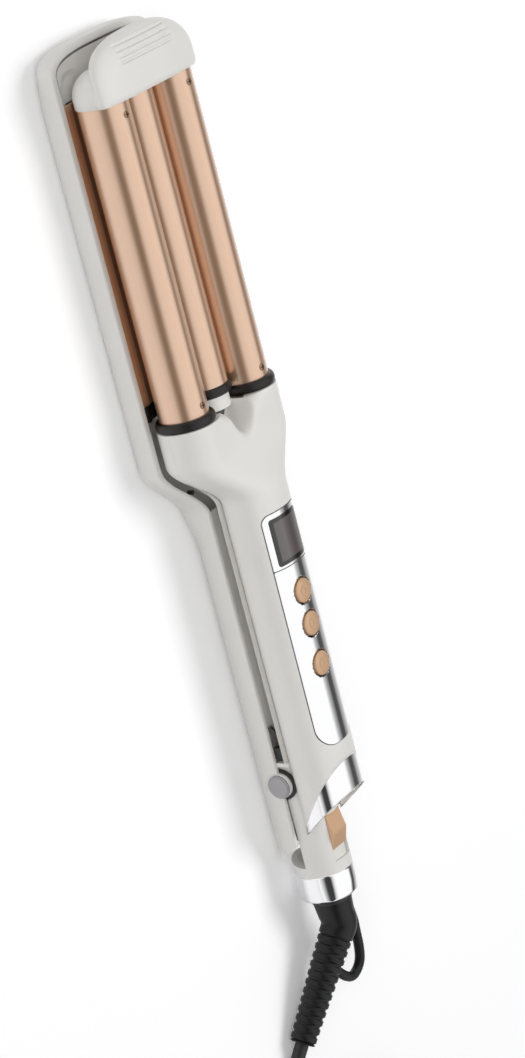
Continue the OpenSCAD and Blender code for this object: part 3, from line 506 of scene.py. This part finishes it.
# mica flakes of about 0.3 mm, drawn a little coarse, and faint lines from the drawing of the tube
place = add(tree, "ShaderNodeTexCoord")
flakes = add(tree, "ShaderNodeTexNoise", [("Vector", place, "Object")], Scale=2600.0, Detail=1.0)
stretch = add(tree, "ShaderNodeMapping", [("Vector", place, "Object")], Scale=(6.0, 900.0, 900.0))
drawn = add(tree, "ShaderNodeTexNoise", [("Vector", stretch, "Vector")], Scale=1.0, Detail=3.0)
blend = add(tree, "ShaderNodeMath", [(0, flakes, "Fac"), (1, drawn, "Fac")], operation="ADD")
skin = add(tree, "ShaderNodeBump", [("Height", blend, 0)], Strength=0.5, Distance=0.00002)
tree.links.new(skin.outputs["Normal"], shader.inputs["Normal"])
tone = add(tree, "ShaderNodeMapRange", [("Value", blend, 0)], From_Max=2.0, To_Min=0.26, To_Max=0.36)
tree.links.new(tone.outputs["Result"], shader.inputs["Roughness"])
tint = add(tree, "ShaderNodeValToRGB", [("Fac", drawn, "Fac")])
tint.color_ramp.elements[0].color = linear("#d3a682")
tint.color_ramp.elements[1].color = linear("#deb28f")
tree.links.new(tint.outputs["Color"], shader.inputs["Base Color"])

for node, y, z, x0, x1, body in (("barrel_left", barrel_y, barrel_z, 24.3, 165, "handle"),
                                 ("barrel_right", -barrel_y, barrel_z, 24.3, 165, "handle"),
                                 ("barrel_middle", 0, middle_z, 36.6, 160.6, "lower_arm")):
    wall_loop = [(x0, bore_r), (x0, barrel_r - 0.2), (x0 + 0.2, barrel_r), (x1 - 0.2, barrel_r),
                 (x1, barrel_r - 0.2), (x1, bore_r)]
    make_piece(node + "_tube", [lathe(wall_loop, (0, y, z), 0, 128)], glaze, body, node)

# ---------------------------------------------------------------------------------------------
# Wave plate: a die-cast aluminium plate with two shallow troughs under the outer barrels, in the
# barrels' glaze. It is screwed down into the tray.


def recast(node, material, body, smooth_angle=30, bevel=0.0):
    """A CAD node's own shape as a piece: its mesh copied, doubles merged, edges softened."""
    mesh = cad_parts[node].data.copy()
    bm = bmesh.new()
    bm.from_mesh(mesh)
    bmesh.ops.remove_doubles(bm, verts=bm.verts, dist=2e-6)
    bmesh.ops.dissolve_limit(bm, angle_limit=math.radians(0.5), verts=bm.verts, edges=bm.edges)
    bm.to_mesh(mesh)
    bm.free()
    return finish_piece(node + "_finished", mesh, material, body, [node], smooth_angle, bevel)


recast("wave_plate", glaze, "lower_arm", bevel=0.4)

# ---------------------------------------------------------------------------------------------
# Bead rings: round collars moulded from heat-resistant black PPS, pressed on where each barrel
# leaves its seat, so that the hair doesn't meet the hot joint.
# PPS: a hard brown-black plastic with a low, even gloss
pps, tree, shader = surface("black PPS, moulded", Base_Color=linear("#1c1817"), Specular_IOR_Level=0.4)
grain(tree, shader, 0.5, 0.01, 0.32, 0.45)
for node, x, y, z, r, body in (("ring_left", 33.3, barrel_y, barrel_z, 12, "handle"),
                               ("ring_right", 33.3, -barrel_y, barrel_z, 12, "handle"),
                               ("ring_middle", 38.2, 0, middle_z, 11.1, "lower_arm")):
    a = np.linspace(-90, 90, 21)
    arc = np.stack([x + 2 * np.sin(np.radians(a)), r - 1.2 + 1.2 * np.cos(np.radians(a))], 1)
    make_piece(node + "_bead", [lathe([(x - 2, 10.02), *arc, (x + 2, 10.02)], (0, y, z), 0, 128)],
               pps, body, node)

# ---------------------------------------------------------------------------------------------
# End block and plugs: the block behind the wave plate keeps its heat off the shell, and a round
# plug closes each barrel's front end. All are moulded from the rings' PPS and pressed in.
recast("plate_block_rear", pps, "lower_arm", bevel=0.3)
plug = [(149, 0.01), (149, bore_r - 0.05), (160.2, bore_r - 0.05), (160.2, 0.01)]
make_piece("plug_middle_moulded", [lathe(plug, (0, 0, middle_z), 0)], pps, "lower_arm", "plug_middle",
           bevel=0.3)
dress(pps, "tip_plug_left", "tip_plug_right")

# ---------------------------------------------------------------------------------------------
# Upper casing: two ABS mouldings that meet on a level joint and are screwed together. The housing
# is the handle's oval that forks into two round arms; the inner cover closes it from below.
handle_half, handle_mid, handle_top, handle_belly = 15.25, 29.5, 41.0, 18.7
fork_side, arm_r, arm_end, crotch_x = 33.0, 12.0, 31.3, 25.4
square_x, cover_rear, joint_z = -95.0, -115.6, 22.0
mouth_x, mouth_slant = -119.8, 1.402
key_x = {"key_plus": -46.8, "key_minus": -60.8, "key_power": -77.9}


def oval_share(u):
    """Share of the handle's half-height at a share u of its half-width: a superellipse of power 2.3."""
    return np.maximum(0, 1 - np.abs(u) ** 2.3) ** (1 / 2.3)


def key_well(x, y):
    """1 inside a key's hole, 0 outside, with a smooth step between radii of 5.25 and 5.65 mm."""
    return sum(ease((5.65 - np.hypot(x - c, y)) / 0.4) for c in key_x.values())


def casing_grid(high):
    """Rows along the tool, columns round the section. The handle's oval passes into two circles
    joined by a web that thins out at the crotch. Points beyond the joint plane are laid on it, the
    end rows draw in to the arms' axes, and the crotch follows a bow across the tool."""
    a = np.linspace(0, 2 * math.pi, 256, endpoint=False) + math.pi / 256
    u, up = np.cos(a)[None], np.sin(a)[None] > 0
    # rows: nine that reach back to the rear end, the handle's, the fork's, and six that close the arms
    x = np.concatenate([np.full(9, square_x), np.linspace(square_x + 1, -22, 150 if high else 16),
                        np.linspace(-20, arm_end, 88), np.full(6, arm_end)])
    back = np.concatenate([[1], np.linspace(1, 0, 8, endpoint=False), np.zeros(len(x) - 9)])[:, None]
    draw = np.concatenate([np.zeros(len(x) - 6), [0.1, 0.25, 0.45, 0.65, 0.8, 1.0]])[:, None]
    x = x[:, None]
    fork = ease((x + 5) / 22)
    Y = u * mix(handle_half, fork_side, fork)
    bow = 0.128 * np.minimum(np.abs(Y), 8) ** 2
    # the fork's section: circles round the barrels' axes, and a web whose height and reach fall off
    spread = np.abs(u) * fork_side
    remains = 1 - ease((x - bow - 16.3) / 9)
    web, reach = 12.6 * remains, mix(12, 30, remains)
    inward = np.minimum(np.maximum(0, barrel_y - spread), reach) / reach
    inside = web + (arm_r - web) * np.sqrt(1 - inward**2)
    outside = np.sqrt(np.maximum(0, arm_r**2 - (spread - barrel_y) ** 2))
    height = mix(oval_share(u), np.where(spread > barrel_y, outside, inside) / arm_r, fork)
    mid, top = mix(handle_mid, barrel_z, fork), mix(handle_top, barrel_z + arm_r, fork)
    belly = mix(handle_belly, barrel_z - arm_r, fork)
    Z = np.where(up, mid + (top - mid) * height, mid - (mid - belly) * height)
    # between the arms the web ends in the crotch
    arm_inside = barrel_y - arm_r + 0.05
    X = np.where(np.abs(Y) < arm_inside, np.minimum(x, crotch_x + bow), x)
    # the arms' ends are rounded off and closed on their axes
    on_arm = (np.abs(Y) >= arm_inside) & (x >= arm_end)
    X = np.where(on_arm & (draw < 0.3), X + 0.5 * draw, X)
    pull = np.where(draw < 0.3, draw * 0.25, draw)
    Y = np.where(on_arm, mix(Y, barrel_y * np.sign(Y), pull), Y)
    Z = np.where(on_arm, mix(Z, barrel_z, pull), Z)
    if high:
        # the keys' holes, and the slanted mouth where the chrome trim meets it
        Z = np.maximum(Z, joint_z)
        Z = Z - 7 * key_well(x, Y) * (Z > 35)
        X = X + back * (mouth_x - mouth_slant * (handle_top - Z) - square_x)
    else:
        # a gap over the lower shell's rim, wider round the fork
        Z = np.minimum(Z, joint_z - 0.04)
        rim = shell_rim(X) + mix(0.8, 2.2, ease((X - 6) / 10))
        Z = np.where(np.abs(Y) > shell_half(X) - 3.6, np.maximum(Z, np.minimum(rim, 21.9)), Z)
        X = X + back * (cover_rear - square_x)
    Y[0] = 0
    return np.stack([X, Y, Z], -1)


make_piece("upper_housing_moulded", [grid_faces(casing_grid(True), caps=False)], abs_white, "handle",
           "upper_housing", smooth_angle=42)
make_piece("inner_cover_moulded", [grid_faces(casing_grid(False), caps=False)], abs_white, "handle",
           "upper_inner_cover", smooth_angle=42)

# ---------------------------------------------------------------------------------------------
# Tip cap: a white ABS moulding that joins both barrels' ends. A soft roof with four grip grooves
# falls towards the tip over two rounded sockets; screws through the barrels hold it.
roof_back, roof_edge, roof_front, roof_low, roof_top = 160.2, 171.0, 183.9, 26.3, 33.8
cap_half, socket_r, socket_x = 31.3, 10.4, 163.7


def roof_grid():
    """Rows along the top's fall (level, then a quarter ellipse), columns round a superellipse
    section whose half-width closes the plan. Grooves are dips of the falling rows."""
    angle = np.radians(np.concatenate([[90] * 14, np.linspace(90, 0, 110)]))
    level_run = np.linspace(roof_back, roof_edge, 14, endpoint=False) - roof_edge
    x = roof_edge + np.concatenate([level_run, np.zeros(110)]) + (roof_front - roof_edge) * np.cos(angle)
    crest = roof_low + (roof_top - roof_low) * np.sin(angle)
    half = cap_half * np.maximum(0, 1 - np.clip((x - 166.9) / 17, 0, 1) ** 2.6) ** (1 / 2.6)
    draw = np.array([0.9, 0.35, 0.1, 0] + [0] * 120)
    a = np.linspace(0, 2 * math.pi, 180, endpoint=False)
    c, s = np.cos(a)[None], np.sin(a)[None]
    level = mix(29.2, 26.2, ease((x - 166) / 15))
    up = np.maximum(crest - level, 0.2) - draw
    down = mix(6.5, 0.8, ease((x - 161) / 12)) - draw
    Y = (half - draw)[:, None] * np.sign(c) * np.abs(c) ** (2 / 2.9)
    Z = level[:, None] + np.where(s > 0, up[:, None], down[:, None]) * np.sign(s) * np.abs(s) ** (2 / 2.9)
    X = x[:, None] + 0 * Y
    groove = sum(np.exp(-(((np.degrees(angle) - at) / 2.1) ** 2)) for at in (78, 67, 55, 42))[:, None]
    reach = ease((17.4 - np.abs(Y)) / 1.6) * (s > 0.2) * np.clip((np.abs(s) - 0.2) * 5, 0, 1)
    dip = 0.95 * groove * reach
    return np.stack([X - dip * np.cos(angle)[:, None], Y, Z - dip * np.sin(angle)[:, None]], -1)


arc = np.radians(np.linspace(0, 90, 26))
socket_line = [(roof_back, 0.01), (roof_back, socket_r - 0.3), (roof_back + 0.3, socket_r),
               *np.stack([socket_x + socket_r * np.sin(arc), np.maximum(0.01, socket_r * np.cos(arc))], 1)]
sockets = [lathe(socket_line, (0, y, barrel_z), 0) for y in (barrel_y, -barrel_y)]
make_piece("tip_cap_moulded", [grid_faces(roof_grid())] + sockets, abs_white, "handle", "tip_cap",
           smooth_angle=50)

# ---------------------------------------------------------------------------------------------
# Control panel: thin inlays of ABS with bright plating, set nearly flush in a pocket of the
# handle's top, one round the keys and a short one round the display.
panel_half = 11.2


def oval_top(y):
    """Height of the handle's top at a distance from its middle plane."""
    return handle_mid + (handle_top - handle_mid) * oval_share(y / handle_half)


def inlay_grid(x0, x1, half, r0, r1, lift, thick):
    """A plate bent over the handle's top: rows along x, its half-width drawn in by a quarter circle
    at each end, columns over the top and back underneath; lift is how far it stands proud."""
    end0 = x0 + r0 * (1 - np.cos(np.linspace(0, math.pi / 2, 12)))
    end1 = x1 - r1 * (1 - np.cos(np.linspace(math.pi / 2, 0, 12)))
    x = np.concatenate([end0, np.linspace(x0 + r0, x1 - r1, round((x1 - x0) * 3))[1:-1], end1])
    w = half - r0 + np.sqrt(np.maximum(0, r0**2 - np.maximum(0, x0 + r0 - x) ** 2))
    w = w - r1 + np.sqrt(np.maximum(0, r1**2 - np.maximum(0, x - x1 + r1) ** 2))
    v = np.linspace(-1, 1, 49)
    Y = w[:, None] * np.concatenate([v, v[::-1]])[None]
    Z = oval_top(Y) + np.where(np.arange(98) < 49, lift, lift - thick)[None]
    Z = Z - 4.6 * key_well(x[:, None], Y)
    return np.stack([np.broadcast_to(x[:, None], Y.shape), Y, Z], -1)


# Chrome on a moulded base: a mirror with a slight ripple as of orange peel
chrome, tree, shader = surface("bright chrome plating", Base_Color=(0.9, 0.9, 0.91, 1), Metallic=1.0)
grain(tree, shader, 9.0, 0.012, 0.05, 0.1)
key_plate = inlay_grid(-111.3, -34.9, panel_half, 8.5, 0.4, 0.2, 1.4)
window_plate = inlay_grid(-34.5, -12.0, panel_half, 0.4, 3.0, 0.2, 1.4)
make_piece("panel_plated", [grid_faces(key_plate), grid_faces(window_plate)], chrome, "handle",
           "control_panel", bevel=0.15)
# Painted shadow: a dull dark line round the plates and between them, for the shade in the gap at the
# pocket's edge
pocket, tree, shader = surface("painted shadow line round the plates", Base_Color=linear("#55534f"))
grain(tree, shader, 0.5, 0.01, 0.6, 0.8)
# a dark sheet a little wider than the plates, just proud of the housing: painted shadow in the gap round
# them
shadow_line_sheet = inlay_grid(-111.65, -11.65, panel_half + 0.35, 8.8, 3.3, 0.03, 0.9)
make_piece("panel_shadow_line", [grid_faces(shadow_line_sheet)], pocket, "handle")

# ---------------------------------------------------------------------------------------------
# Display window: a pane of smoked acrylic over the dark liquid-crystal module, snapped into the
# short inlay, with a border printed on its back.
# Smoked acrylic: glossy brown-black, a little lighter in the field that the border leaves
acrylic, tree, shader = surface(
    "smoked acrylic window", Roughness=0.08, Coat_Weight=0.5, Coat_Roughness=0.03)
# places count from the pane's middle, in shares of about its half-length and half-width
place = add(tree, "ShaderNodeTexCoord")
centre = add(tree, "ShaderNodeMapping", [("Vector", place, "Object")], Location=(0.0238 * 103, 0, 0),
             Scale=(103.0, 118.0, 0.0))
reach = add(tree, "ShaderNodeVectorMath", [(0, centre, "Vector")], operation="ABSOLUTE")
sides = add(tree, "ShaderNodeSeparateXYZ", [("Vector", reach, 0)])
edge = add(tree, "ShaderNodeMath", [(0, sides, "X"), (1, sides, "Y")], operation="MAXIMUM")
field = add(tree, "ShaderNodeValToRGB", [("Fac", edge, 0)])
field.color_ramp.elements[0].position, field.color_ramp.elements[0].color = 0.80, linear("#5f5757")
field.color_ramp.elements[1].position, field.color_ramp.elements[1].color = 0.86, linear("#191616")
tree.links.new(field.outputs["Color"], shader.inputs["Base Color"])
pane = inlay_grid(-33.6, -14.0, 9.0, 1.2, 1.2, 0.32, 1.0)
make_piece("window_acrylic", [grid_faces(pane)], acrylic, "handle", "display_window", bevel=0.12)

# ---------------------------------------------------------------------------------------------
# Keys: round ABS caps, slightly domed, each on its own switch. They are painted in the barrels'
# rose gold and stand in the holes of the key plate.
key_foot, key_crown, key_r = 38.1, 41.85, 4.95
# Satin metallic paint: rose gold with a fine flake and a soft sheen
satin, tree, shader = surface("rose-gold satin paint", Metallic=0.35, Coat_Weight=0.3, Coat_Roughness=0.3)
noise = grain(tree, shader, 0.3, 0.004, 0.34, 0.46)
tone = add(tree, "ShaderNodeValToRGB", [("Fac", noise, "Fac")])
tone.color_ramp.elements[0].color = linear("#d0a680")
tone.color_ramp.elements[1].color = linear("#dbb592")
tree.links.new(tone.outputs["Color"], shader.inputs["Base Color"])
# a dome that falls with the square of the radius, with faint rings from turning, and a round edge
r, t = np.linspace(0.01, 4.2, 16), np.linspace(0.2, 1.5, 7)
dome = np.stack([key_crown - 0.011 * r**2 + 0.05 * np.cos(2.2 * r), r], 1)
rounding = np.stack([key_crown - 0.2 - 0.55 * (1 - np.cos(t)), 4.22 + 0.7 * np.sin(t)], 1)
cap_line = [(key_foot, 0.01), *dome, *rounding, (key_foot, key_r)]
for node, x in key_x.items():
    make_piece(node + "_cap", [lathe(cap_line, (x, 0, 0), 2, 72)], satin, node, node, smooth_angle=60)

# ---------------------------------------------------------------------------------------------
# Lock: a sliding ABS button in a slot of the collar, painted like the keys. Its bolt under it
# holds the arms together.
recast("lock_slider", satin, "lock", bevel=0.35)

# ---------------------------------------------------------------------------------------------
# Rear end: a plated chevron finishes the slanted mouth of the handle over the white ABS collar, and
# a white liner closes the space behind it. A plated ring closes the collar round the cord's bearing.
collar_z = 16.0


def chevron_grid(out, deep):
    """A band over the handle's oval between two slanted planes: x falls from the mouth's line by
    1.402 times the depth below the top, and at the band's other side from -132.7 by 0.81 times.
    Columns run over the outside and back along the inside; out and deep set both surfaces in."""
    a = np.linspace(-0.62, math.pi + 0.62, 110)
    u, up = np.cos(a), np.sign(np.sin(a))
    h = (handle_top - handle_mid) * oval_share(u)
    outer = np.stack([u * (handle_half + 0.12 - out), handle_mid + up * np.maximum(0.1, h + 0.12 - out)], 1)
    inner = np.stack([u * (handle_half - deep), handle_mid + up * np.maximum(0.1, h - deep)], 1)
    y, z = np.concatenate([outer, inner[::-1]]).T
    z = np.maximum(z, 21.9)
    depth = handle_top - z
    front = mouth_x - mouth_slant * depth
    back = np.minimum(-132.7 - 0.81 * depth, front - 0.3)
    X = mix(front[None], back[None], np.linspace(0, 1, 12)[:, None])
    return np.stack([X, np.broadcast_to(y, X.shape), np.broadcast_to(z, X.shape)], -1)


make_piece("chevron_plated", [grid_faces(chevron_grid(0, 0.9), caps=False)], chrome, "handle",
           "chevron_trim", smooth_angle=35, bevel=0.15)
make_piece("chevron_liner", [grid_faces(chevron_grid(0.95, 3.4), caps=False)], abs_white, "handle",
           smooth_angle=35)
ring_line = [(-168.2, 8.6), (-168.2, 12.05), (-168.5, 12.35), (-174, 12.3), (-178.6, 12.05), (-179.4, 11.8),
             (-179.8, 11.2), (-179.8, 8.6)]
make_piece("end_ring_plated", [lathe(ring_line, (0, 0, collar_z), 0, 128)], chrome, "handle", "end_ring",
           smooth_angle=40)
recast("rear_collar", abs_white, "handle", bevel=0.25)

# ---------------------------------------------------------------------------------------------
# Lock shutter: a thin white ABS strip, bent round the collar's axis. It is clipped to the slider,
# travels with it and keeps the slot closed.
a = np.linspace(-0.48, 0.48, 21)
strip = np.concatenate([np.stack([10.7 * np.sin(a), collar_z + 10.7 * np.cos(a)], 1),
                        np.stack([10.3 * np.sin(a[::-1]), collar_z + 10.3 * np.cos(a[::-1])], 1)])
shutter = np.stack([np.column_stack([np.full(42, x), strip]) for x in (-163.6, -143.5)])
make_piece("lock_shutter", [grid_faces(shutter)], abs_white, "lock", smooth_angle=30, bevel=0.08)

# ---------------------------------------------------------------------------------------------
# Hinge caps: round zinc die castings, tumbled smooth and pressed on the hinge pin's ends. They show
# on both flanks, outside the lower shell's ears.
# Tumbled zinc: a dull grey metal with a soft broken shine
zinc, tree, shader = surface("zinc die casting, tumbled", Base_Color=linear("#a3a1a4"), Metallic=0.55)
grain(tree, shader, 0.8, 0.008, 0.3, 0.42)
recast("hinge_caps", zinc, "lower_arm", bevel=0.3)

# ---------------------------------------------------------------------------------------------
# Hinge and lock metal: a ground steel pin across the rear, the torsion spring wound round it, and
# the lock's bolt and catch. They keep their solids, as do the inner parts below.
# Ground steel: a clean grey metal with a fine broken reflection
steel, tree, shader = surface("spring and pin steel", Base_Color=linear("#b9b8b6"), Metallic=1.0)
grain(tree, shader, 0.6, 0.003, 0.25, 0.38)
dress(steel, "hinge_pin", "torsion_spring", "lock_bolt", "lock_catch")

# ---------------------------------------------------------------------------------------------
# Casing screws: small self-tapping screws of blackened steel, driven up into the bosses of the
# under-cover and of the lower shell.
# Blackened steel: dark brown-grey, half dull
blackened, tree, shader = surface("blackened screw steel", Base_Color=linear("#4a3f3a"), Metallic=0.9)
grain(tree, shader, 0.4, 0.006, 0.35, 0.5)
dress(blackened, "housing_screws", "shell_screws")

# ---------------------------------------------------------------------------------------------
# Barrel screws: two in the top of each outer barrel, one close to its bead ring and one close to
# the tip cap. They are of bronzed steel, with round heads and a cross recess, and hold the tube to
# what is inside it.
# Bronzed steel: a copper-brown metal close to the barrels' glaze
bronzed, tree, shader = surface("bronzed screw steel", Base_Color=linear("#a98b74"), Metallic=1.0)
grain(tree, shader, 0.4, 0.006, 0.3, 0.42)
# The cross: painted shade, nearly black, for the recess that light is lost in
recess, tree, shader = surface("screw recess, painted shade", Base_Color=linear("#1d1613"), Metallic=0.6)
grain(tree, shader, 0.3, 0.01, 0.5, 0.6)


def box(low, high):
    """A closed box between two opposite corners: a square of four points at each end in x."""
    y, z = (low[1], high[1], high[1], low[1]), (low[2], low[2], high[2], high[2])
    return grid_faces(np.stack([np.column_stack([np.full(4, x), y, z]) for x in (low[0], high[0])]))


head_line = [(29.6, 0.01), (29.6, 1.45), (32.55, 1.45), (32.75, 1.3), (32.86, 0.9), (32.9, 0.01)]
places = [(x, y) for x in (39.2, 155.3) for y in (barrel_y, -barrel_y)]
make_piece("barrel_screw_heads", [lathe(head_line, (x, y, 0), 2, 40) for x, y in places], bronzed,
           "handle", "barrel_screws", smooth_angle=60)
# the crosses are dark boxes laid on the heads: painted shade of the cross recess
crosses = [box((x - along, y - across, 32.5), (x + along, y + across, 32.93))
           for x, y in places for along, across in ((1.0, 0.17), (0.17, 1.0))]
make_piece("barrel_screw_crosses", crosses, recess, "handle")

# ---------------------------------------------------------------------------------------------
# Heaters and spreaders: in each barrel a flat strip of sintered alumina, clamped between two
# half-round aluminium extrusions that carry the heat to the tube.
# Sintered alumina: chalk white and matt
alumina, tree, shader = surface("alumina heater", Base_Color=linear("#ecebe6"))
grain(tree, shader, 0.3, 0.01, 0.5, 0.65)
dress(alumina, "heater_left", "heater_right", "heater_middle")
# Bare extruded aluminium: a light grey metal, half dull
extrusion, tree, shader = surface("aluminium extrusion", Base_Color=linear("#c6c7c9"), Metallic=1.0)
grain(tree, shader, 0.5, 0.006, 0.3, 0.42)
dress(extrusion, "spreader_left", "spreader_right", "spreader_middle")

# ---------------------------------------------------------------------------------------------
# Cord bearing, switches and display module: small nylon mouldings inside the handle, one clipped
# into the end ring and the others soldered on the board.
# Moulded nylon: black with a faint waxy gloss
nylon, tree, shader = surface("black nylon, moulded", Base_Color=linear("#232324"))
grain(tree, shader, 0.5, 0.01, 0.4, 0.55)
dress(nylon, "swivel_socket", "tact_switches", "display_module")

# ---------------------------------------------------------------------------------------------
# Circuit board: a strip of glass-epoxy laminate, screwed under the handle's top with the keys'
# switches on it.
# Solder-masked laminate: deep green with the weave's faint relief
laminate, tree, shader = surface("glass-epoxy board", Base_Color=linear("#1e5a38"))
grain(tree, shader, 0.8, 0.02, 0.35, 0.5)
dress(laminate, "circuit_board")

# ---------------------------------------------------------------------------------------------
# Hinge fittings: on each side a black ring round the pin is painted shadow in the gap round the lower
# shell's ear, and a black block in the nylon material is painted shadow in the slot in front of it. A white
# ABS rib of the casing stands between them.
for side, name in ((1, "left"), (-1, "right")):
    # both black shapes are painted shadow: the block fills the dark slot, the ring the dark gap round the
    # ear
    block = box((-114.6, side * 10.8, 16.7), (-109.4, side * 13.2, 21.1))
    rib = box((-117.6, side * 10.8, 16.5), (-115.8, side * 13.8, 22.5))
    gap_shadow_ring = lathe([(side * 12.2, 5.3), (side * 12.2, 6.6), (side * 13.5, 6.6), (side * 13.5, 5.3)],
                   (hinge_x, 0, hinge_z), 1, 64)
    make_piece("hinge_shadow_" + name, [block, gap_shadow_ring], nylon, "handle", bevel=0.2)
    make_piece("hinge_rib_" + name, [rib], abs_white, "handle", bevel=0.3)

# ---------------------------------------------------------------------------------------------
# Stop pad: a small block of silicone rubber, pressed into the lower shell, that the closing arms
# come down on.
# Silicone rubber: a dull black
rubber, tree, shader = surface("silicone rubber", Base_Color=linear("#1c1c1d"))
grain(tree, shader, 0.6, 0.02, 0.55, 0.7)
dress(rubber, "stop_pad")
